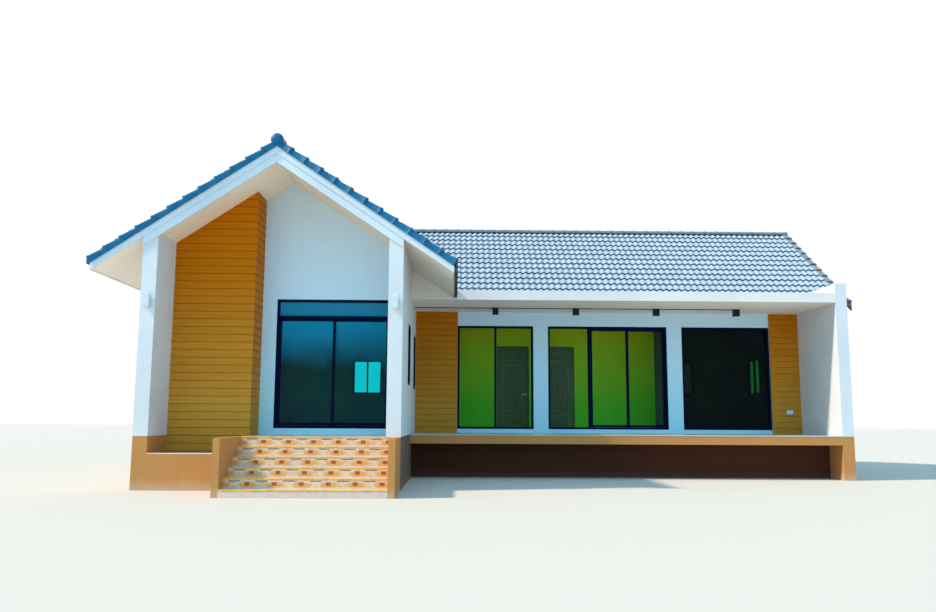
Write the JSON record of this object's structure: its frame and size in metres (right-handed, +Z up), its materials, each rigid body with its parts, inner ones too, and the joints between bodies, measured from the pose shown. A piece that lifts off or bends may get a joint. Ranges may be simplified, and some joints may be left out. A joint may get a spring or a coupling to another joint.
{
  "type": "bungalow",
  "caption": "Single-storey house on a raised plinth: gabled porch with a stair, long roofed terrace, plank-clad panels, sliding glazed doors and a wavy tile roof.",
  "frame": {"origin": "middle of the overall footprint, on the ground", "axes": "+X to the right along the front, +Y towards the back, +Z up"},
  "size_m": [16.05, 12.587, 6.5951],
  "materials": {
    "base_paint": "tan brown masonry paint on plaster",
    "stair_tile": "patterned glazed tiles with orange nosings",
    "floor_tile": "pale floor tiles",
    "white_plaster": "white painted plaster",
    "plank_cladding": "ochre brown stained planks",
    "soffit_board": "cream painted board",
    "roof_tile": "blue grey wavy concrete tile",
    "trim_paint": "white painted board",
    "gutter_paint": "dark brown painted metal",
    "frame_metal": "black powder coat",
    "window_glass": "clear green tinted glass",
    "partition_paint": "pale green painted board",
    "inner_door_wood": "dark stained panel door",
    "hinge_steel": "steel",
    "lamp_black": "black painted metal",
    "lamp_white": "white painted metal"
  },
  "bodies": {
    "house": {"plinth_left": "base_paint", "plinth_rear": "base_paint", "plinth_right": "base_paint", "plinth_front": "base_paint", "plinth_gable": "base_paint", "planter_wall": "base_paint", "stair_wings": "base_paint", "stair_steps": "stair_tile", "ground_floor": "floor_tile", "terrace_slab": "base_paint", "gable_columns": "white_plaster", "clad_box": "plank_cladding", "clad_panels": "plank_cladding", "porch_wall_piers": "white_plaster", "porch_wall_gable": "white_plaster", "window_sills": "white_plaster", "gable_right_wall": "white_plaster", "front_wall_piers": "white_plaster", "front_wall_head": "white_plaster", "fin_wall": "white_plaster", "rear_wall": "white_plaster", "left_wall": "white_plaster", "right_wall": "white_plaster", "terrace_beam": "white_plaster", "terrace_soffit": "soffit_board", "ceiling": "soffit_board", "main_roof_front": "roof_tile", "main_roof_front_left": "roof_tile", "main_roof_rear": "roof_tile", "gable_roof_left": "roof_tile", "gable_roof_right": "roof_tile", "ridge_caps": "roof_tile", "barge_boards": "trim_paint", "porch_soffit": "soffit_board", "eave_soffits": "soffit_board", "eave_fascias": "trim_paint", "eave_gutters": "gutter_paint", "verge_boards": "trim_paint", "porch_door_frame": "frame_metal", "terrace_door_frame": "frame_metal", "window_frames": "frame_metal", "window_glass": "window_glass", "partition_panels": "partition_paint", "partition_head": "partition_paint", "door_hinges": "hinge_steel", "terrace_lamps": "lamp_black", "lamp_conduit": "lamp_black", "wall_lamps": "lamp_white", "socket_box": "white_plaster"},
    "porch_leaf_left": {"porch_leaf_left": "frame_metal"},
    "porch_leaf_right": {"porch_leaf_right": "frame_metal"},
    "terrace_leaf_left": {"terrace_leaf_left": "frame_metal"},
    "terrace_leaf_right": {"terrace_leaf_right": "frame_metal"},
    "inner_door_left": {"inner_door_left": "inner_door_wood"},
    "inner_door_right": {"inner_door_right": "inner_door_wood"}
  },
  "joints": [
    {"name": "porch_left_slide", "type": "slide", "parent": "house", "child": "porch_leaf_left", "axis": [1, 0, 0], "range_m": [0, 1.082]},
    {"name": "porch_right_slide", "type": "slide", "parent": "house", "child": "porch_leaf_right", "axis": [-1, 0, 0], "range_m": [0, 1.082]},
    {"name": "terrace_left_slide", "type": "slide", "parent": "house", "child": "terrace_leaf_left", "axis": [1, 0, 0], "range_m": [0, 0.8959]},
    {"name": "terrace_right_slide", "type": "slide", "parent": "house", "child": "terrace_leaf_right", "axis": [-1, 0, 0], "range_m": [0, 0.8959]},
    {"name": "inner_left_hinge", "type": "hinge", "parent": "house", "child": "inner_door_left", "pos_m": [-0.122, 2.3645, 0.96], "axis": [0, 0, 1], "range_deg": [0, 90]},
    {"name": "inner_right_hinge", "type": "hinge", "parent": "house", "child": "inner_door_right", "pos_m": [1.947, 2.3645, 0.96], "axis": [0, 0, -1], "range_deg": [0, 90]}
  ]
}
